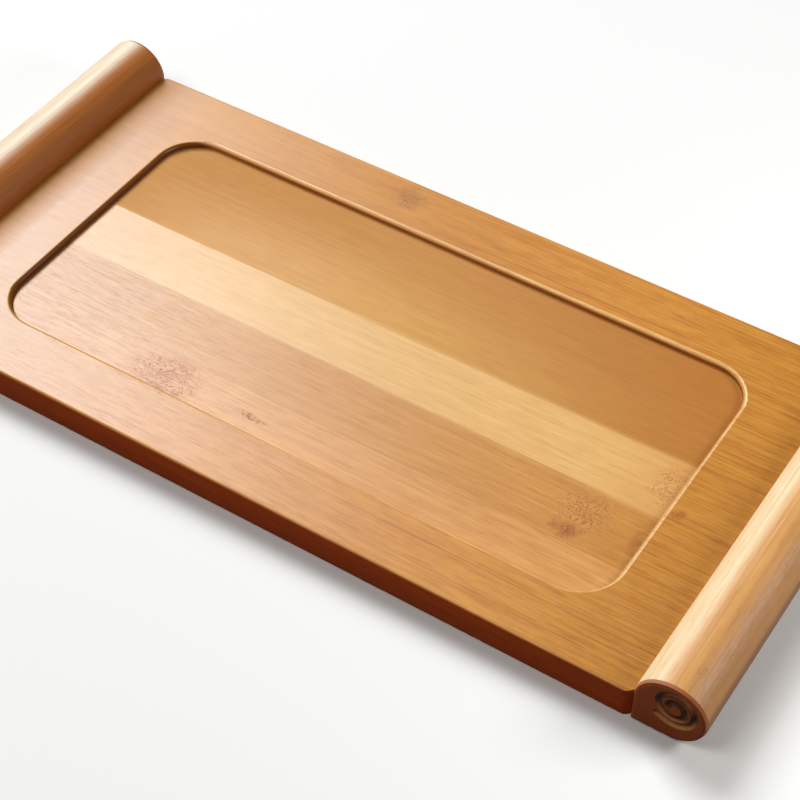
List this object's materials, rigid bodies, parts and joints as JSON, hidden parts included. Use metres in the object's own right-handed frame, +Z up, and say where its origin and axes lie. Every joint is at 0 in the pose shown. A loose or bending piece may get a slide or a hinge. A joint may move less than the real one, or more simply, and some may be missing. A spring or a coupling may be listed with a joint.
{
  "type": "gongfu tea tray",
  "caption": "Rectangular bamboo tea tray with a shallow rounded recess and a round scroll-shaped roll, spiral-grooved at its ends, along each short side.",
  "frame": {"origin": "middle of the underside, on the surface that the tray stands on", "axes": "+X along the board from one roll to the other, +Y to the back, +Z up"},
  "size_m": [0.301, 0.14, 0.0214],
  "materials": {
    "bamboo_base": "carbonised bamboo under clear satin varnish",
    "bamboo_dowel": "bare bamboo",
    "bamboo_roll": "carbonised bamboo under clear satin varnish",
    "bamboo_rim": "carbonised bamboo under clear satin varnish",
    "bamboo_honey": "carbonised bamboo under clear satin varnish",
    "bamboo_amber": "carbonised bamboo under clear satin varnish",
    "bamboo_straw": "carbonised bamboo under clear satin varnish",
    "bamboo_caramel": "carbonised bamboo under clear satin varnish"
  },
  "bodies": {
    "root": {"bottom_strip_1": "bamboo_base", "bottom_strip_2": "bamboo_base", "bottom_strip_3": "bamboo_base", "bottom_strip_4": "bamboo_base", "bottom_strip_5": "bamboo_base", "bottom_strip_6": "bamboo_base", "bottom_strip_7": "bamboo_base", "left_joint_dowels": "bamboo_dowel", "left_roll_board_side_stave": "bamboo_roll", "left_roll_inner_stave": "bamboo_roll", "left_roll_outer_stave": "bamboo_roll", "left_roll_outside_stave": "bamboo_roll", "right_joint_dowels": "bamboo_dowel", "right_roll_board_side_stave": "bamboo_roll", "right_roll_inner_stave": "bamboo_roll", "right_roll_outer_stave": "bamboo_roll", "right_roll_outside_stave": "bamboo_roll", "top_strip_1": "bamboo_rim", "top_strip_2": "bamboo_honey", "top_strip_3": "bamboo_amber", "top_strip_4": "bamboo_straw", "top_strip_5": "bamboo_caramel", "top_strip_6": "bamboo_caramel", "top_strip_7": "bamboo_rim"}
  },
  "joints": []
}
